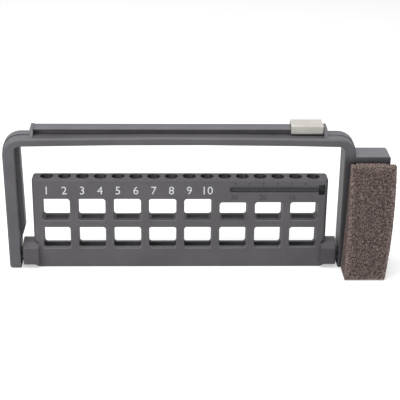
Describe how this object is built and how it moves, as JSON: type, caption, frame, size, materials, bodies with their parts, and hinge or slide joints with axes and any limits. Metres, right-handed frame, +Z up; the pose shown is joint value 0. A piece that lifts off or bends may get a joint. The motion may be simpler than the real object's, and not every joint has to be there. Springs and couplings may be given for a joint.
{
  "type": "endodontic file organizer",
  "caption": "Upright pierced block for rotary root-canal files, with a hinged stand frame, a sponge holder, a ruler groove and a sliding marker clip.",
  "frame": {"origin": "middle of the file block's underside", "axes": "+X along the row of file holes, towards the sponge; +Y to the back; +Z up out of the file holes"},
  "size_m": [0.1388, 0.0213, 0.054],
  "materials": {
    "block_plastic": "matte moulded plastic, dark warm grey",
    "frame_plastic": "matte moulded plastic, dark warm grey",
    "foam": "open-cell foam, brown grey",
    "clip_plastic": "matte moulded plastic, light warm grey"
  },
  "bodies": {
    "block": {"file_block": "block_plastic"},
    "frame": {"swing_frame": "frame_plastic", "foam_insert": "foam"},
    "clip": {"marker_clip": "clip_plastic"}
  },
  "joints": [
    {"name": "frame_swing", "type": "hinge", "parent": "block", "child": "frame", "pos_m": [0, 0, 0.0049], "axis": [1, 0, 0], "range_deg": [-90, 0]},
    {"name": "clip_slide", "type": "slide", "parent": "frame", "child": "clip", "axis": [1, 0, 0], "range_m": [-0.0902, 0]}
  ]
}
